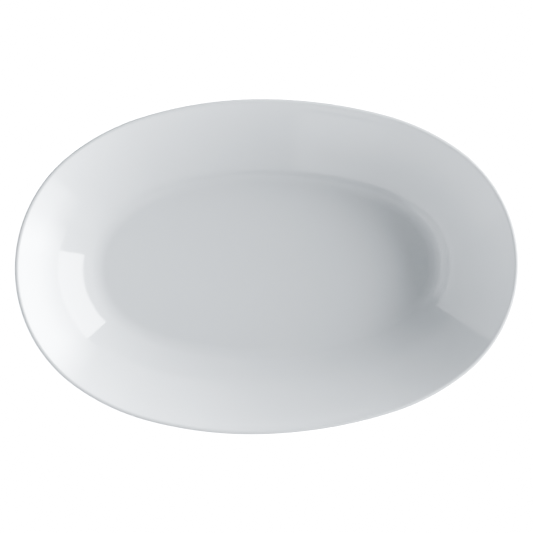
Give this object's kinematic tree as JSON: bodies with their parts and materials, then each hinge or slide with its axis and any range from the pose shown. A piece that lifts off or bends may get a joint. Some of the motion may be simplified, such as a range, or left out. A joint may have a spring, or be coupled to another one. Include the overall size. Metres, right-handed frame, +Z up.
{
  "type": "oval serving platter",
  "caption": "Deep oval serving platter in white glazed porcelain: flat well, flaring wall, full-round lip and a low oval foot ring with a bare bearing edge.",
  "frame": {"origin": "on the table, under the middle of the platter, in the plane of the foot ring's bearing face", "axes": "+X along the platter's length, +Y across its width, +Z up out of the well"},
  "size_m": [0.38, 0.2532, 0.0528],
  "materials": {
    "fired_clay": "unglazed porcelain, fine matte",
    "bare_foot_clay": "unglazed porcelain, ground smooth",
    "white_glaze": "high gloss, clear glaze over white clay, slightly cool"
  },
  "bodies": {
    "root": {"porcelain_body": "fired_clay", "foot_ring": "bare_foot_clay", "inside_glaze": "white_glaze", "outside_glaze": "white_glaze", "base_glaze": "white_glaze"}
  },
  "joints": []
}
